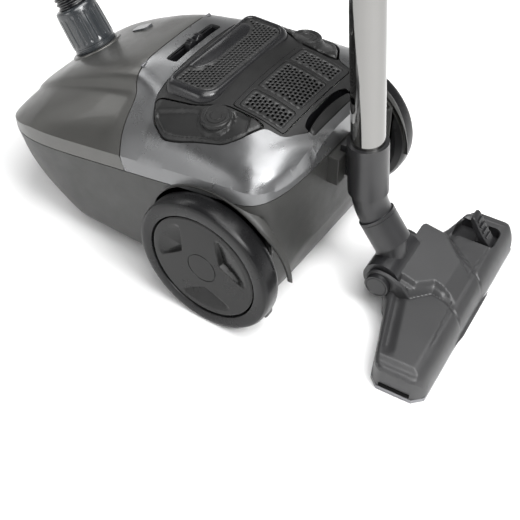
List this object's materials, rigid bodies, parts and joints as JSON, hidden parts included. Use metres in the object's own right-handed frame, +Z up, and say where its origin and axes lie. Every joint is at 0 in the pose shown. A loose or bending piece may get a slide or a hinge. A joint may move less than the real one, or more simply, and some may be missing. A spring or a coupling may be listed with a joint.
{
  "type": "vacuum cleaner",
  "caption": "Cylinder vacuum cleaner with hinged bag lid, foot pedals, corrugated hose, telescopic chrome wand and a floor nozzle parked at the rear.",
  "frame": {"origin": "floor level, centre of the footprint of machine and parked nozzle", "axes": "+Z up, nose towards -Y, parked wand and nozzle towards +Y, +X is the machine's left"},
  "size_m": [0.307, 0.7553, 1.1021],
  "materials": {
    "cover_grey": "satin dark metallic grey",
    "shell_silver": "satin silver metallic",
    "deck_grey": "satin dark grey",
    "hump_grey": "glossy dark grey",
    "grille_grey": "perforated dark grey",
    "tub_grey": "fine-grained charcoal",
    "black_plastic": "satin black",
    "inner_plastic": "moulded mid grey",
    "indicator": "smoked lens",
    "hub_grey": "satin grey",
    "tread": "smooth satin tread",
    "tube_chrome": "mirror",
    "elbow_grey": "satin charcoal",
    "cuff_grey": "gloss blue grey",
    "hose_black": "ribbed gloss black",
    "nozzle_grey": "fine-grained charcoal",
    "pedal_black": "ribbed satin black",
    "steel": "brushed",
    "pivot_dark": "satin black",
    "motor_can": "pressed sheet",
    "motor_iron": "laminated",
    "seal_rubber": "soft black",
    "filter_cloth": "felted",
    "bag_paper": "creased paper fleece",
    "brush_hair": "bristle",
    "board": "lacquered board"
  },
  "bodies": {
    "machine": {"base_tub": "tub_grey", "rear_shell": "shell_silver", "control_deck": "deck_grey", "hump_cover": "hump_grey", "hump_mesh": "grille_grey", "slider_track": "black_plastic", "hinge_pin": "steel", "bag_holder": "inner_plastic", "dust_bag": "bag_paper", "bulkhead": "inner_plastic", "motor_filter": "filter_cloth", "exhaust_filter": "filter_cloth", "motor_housing": "motor_can", "motor_stator": "motor_iron", "motor_mounts": "seal_rubber", "reel_post": "inner_plastic", "circuit_board": "board", "power_switch": "black_plastic", "cord_outlet": "black_plastic", "wheel_axles": "steel", "park_bracket": "tub_grey", "hose_middle": "hose_black"},
    "lid": {"front_cover": "cover_grey", "inlet_collar": "cover_grey", "inlet_seal": "seal_rubber", "bag_full_window": "indicator", "hose_lower": "hose_black"},
    "lid_catch": {"lid_latch": "tub_grey"},
    "inlet_cuff": {"hose_cuff": "cuff_grey"},
    "suction_slider": {"slider_knob": "black_plastic"},
    "pedal_left": {"left_pedal": "deck_grey"},
    "pedal_right": {"right_pedal": "deck_grey"},
    "filter_flap": {"filter_door": "deck_grey", "outlet_grilles": "grille_grey"},
    "filter_catch": {"filter_latch": "black_plastic"},
    "fan": {"fan_rotor": "inner_plastic"},
    "reel": {"cord_reel": "inner_plastic"},
    "wheel_left": {"left_tyre": "tread", "left_hubcap": "hub_grey"},
    "wheel_right": {"right_tyre": "tread", "right_hubcap": "hub_grey"},
    "caster": {"caster_fork": "black_plastic", "caster_axle": "steel"},
    "roller": {"caster_roller": "black_plastic"},
    "wand": {"lower_tube": "tube_chrome", "elbow": "elbow_grey"},
    "wand_upper": {"upper_tube": "tube_chrome", "lock_collar": "black_plastic", "grip": "elbow_grey", "hose_upper": "hose_black"},
    "tube_lock": {"lock_button": "black_plastic"},
    "air_valve": {"air_slider": "black_plastic"},
    "cuff_grip": {"grip_cuff": "cuff_grey"},
    "neck": {"nozzle_neck": "elbow_grey"},
    "nozzle": {"nozzle_housing": "nozzle_grey", "sole_plate": "steel", "sole_screws": "steel", "pivot_pin": "pivot_dark"},
    "rocker": {"nozzle_pedal": "pedal_black"},
    "brushes": {"bristle_strips": "brush_hair"}
  },
  "joints": [
    {"name": "lid_hinge", "type": "hinge", "parent": "machine", "child": "lid", "pos_m": [0, -0.10139, 0.219], "axis": [-1, 0, 0], "range_deg": [0, 58]},
    {"name": "lid_latch_lever", "type": "hinge", "parent": "lid", "child": "lid_catch", "pos_m": [0, -0.28189, 0.106], "axis": [-1, 0, 0], "range_deg": [0, 30], "stiffness_Nm_per_rad": 0.3, "springref_deg": -11.46},
    {"name": "cuff_swivel", "type": "hinge", "parent": "lid", "child": "inlet_cuff", "pos_m": [0, -0.22139, 0.166], "axis": [0, -0.5225, 0.8526], "continuous": true},
    {"name": "suction_slide", "type": "slide", "parent": "machine", "child": "suction_slider", "axis": [1, 0, 0], "range_m": [-0.026, 0.026]},
    {"name": "left_pedal_press", "type": "slide", "parent": "machine", "child": "pedal_left", "axis": [0, 0, -1], "range_m": [0, 0.004], "stiffness_N_per_m": 1500, "springref_m": -0.002},
    {"name": "right_pedal_press", "type": "slide", "parent": "machine", "child": "pedal_right", "axis": [0, 0, -1], "range_m": [0, 0.004], "stiffness_N_per_m": 1500, "springref_m": -0.002},
    {"name": "filter_flap_hinge", "type": "hinge", "parent": "machine", "child": "filter_flap", "pos_m": [0, 0.01531, 0.2266], "axis": [1, 0, 0], "range_deg": [0, 75]},
    {"name": "filter_latch_press", "type": "slide", "parent": "machine", "child": "filter_catch", "axis": [0, 0, -1], "range_m": [0, 0.003], "stiffness_N_per_m": 800, "springref_m": -0.002},
    {"name": "fan_spin", "type": "hinge", "parent": "machine", "child": "fan", "pos_m": [0.044, 0.03761, 0.092], "axis": [0, 1, 0], "continuous": true},
    {"name": "reel_spin", "type": "hinge", "parent": "machine", "child": "reel", "pos_m": [-0.075, 0.02761, 0.092], "axis": [1, 0, 0], "continuous": true},
    {"name": "left_wheel_spin", "type": "hinge", "parent": "machine", "child": "wheel_left", "pos_m": [0.14, 0.03761, 0.081], "axis": [1, 0, 0], "continuous": true},
    {"name": "right_wheel_spin", "type": "hinge", "parent": "machine", "child": "wheel_right", "pos_m": [-0.14, 0.03761, 0.081], "axis": [1, 0, 0], "continuous": true},
    {"name": "caster_swivel", "type": "hinge", "parent": "machine", "child": "caster", "pos_m": [0, -0.16739, 0.03], "axis": [0, 0, 1], "continuous": true},
    {"name": "caster_roll", "type": "hinge", "parent": "caster", "child": "roller", "pos_m": [0, -0.16739, 0.016], "axis": [1, 0, 0], "continuous": true},
    {"name": "wand_lift", "type": "slide", "parent": "machine", "child": "wand", "axis": [0, 0, 1], "range_m": [0, 0.06]},
    {"name": "telescope", "type": "slide", "parent": "wand", "child": "wand_upper", "axis": [0, -0.0906, 0.9959], "range_m": [0, 0.26]},
    {"name": "tube_lock_slide", "type": "slide", "parent": "wand_upper", "child": "tube_lock", "axis": [0, 0.0906, -0.9959], "range_m": [0, 0.004], "stiffness_N_per_m": 500, "springref_m": -0.002},
    {"name": "air_valve_slide", "type": "slide", "parent": "wand_upper", "child": "air_valve", "axis": [0, -0.757, 0.6534], "range_m": [0, 0.012]},
    {"name": "grip_swivel", "type": "hinge", "parent": "wand_upper", "child": "cuff_grip", "pos_m": [0, -0.02318, 0.97667], "axis": [0, -0.757, 0.6534], "continuous": true},
    {"name": "neck_swivel", "type": "hinge", "parent": "wand", "child": "neck", "pos_m": [0, 0.14261, 0.1135], "axis": [0, 0.6157, -0.788], "range_deg": [-60, 60]},
    {"name": "nozzle_pitch", "type": "hinge", "parent": "neck", "child": "nozzle", "pos_m": [0, 0.17961, 0.042], "axis": [0.9976, 0.0698, 0], "range_deg": [-60, 8]},
    {"name": "rocker_press", "type": "hinge", "parent": "nozzle", "child": "rocker", "pos_m": [-0.09638, 0.23903, 0.03], "axis": [-0.9976, -0.0698, 0], "range_deg": [0, 8]},
    {"name": "brush_drop", "type": "slide", "parent": "nozzle", "child": "brushes", "axis": [0, 0, -1], "range_m": [0, 0.0042]}
  ],
  "couplings": [
    {"joint": "brush_drop", "follows": "rocker_press", "m_per_rad": 0.03}
  ]
}
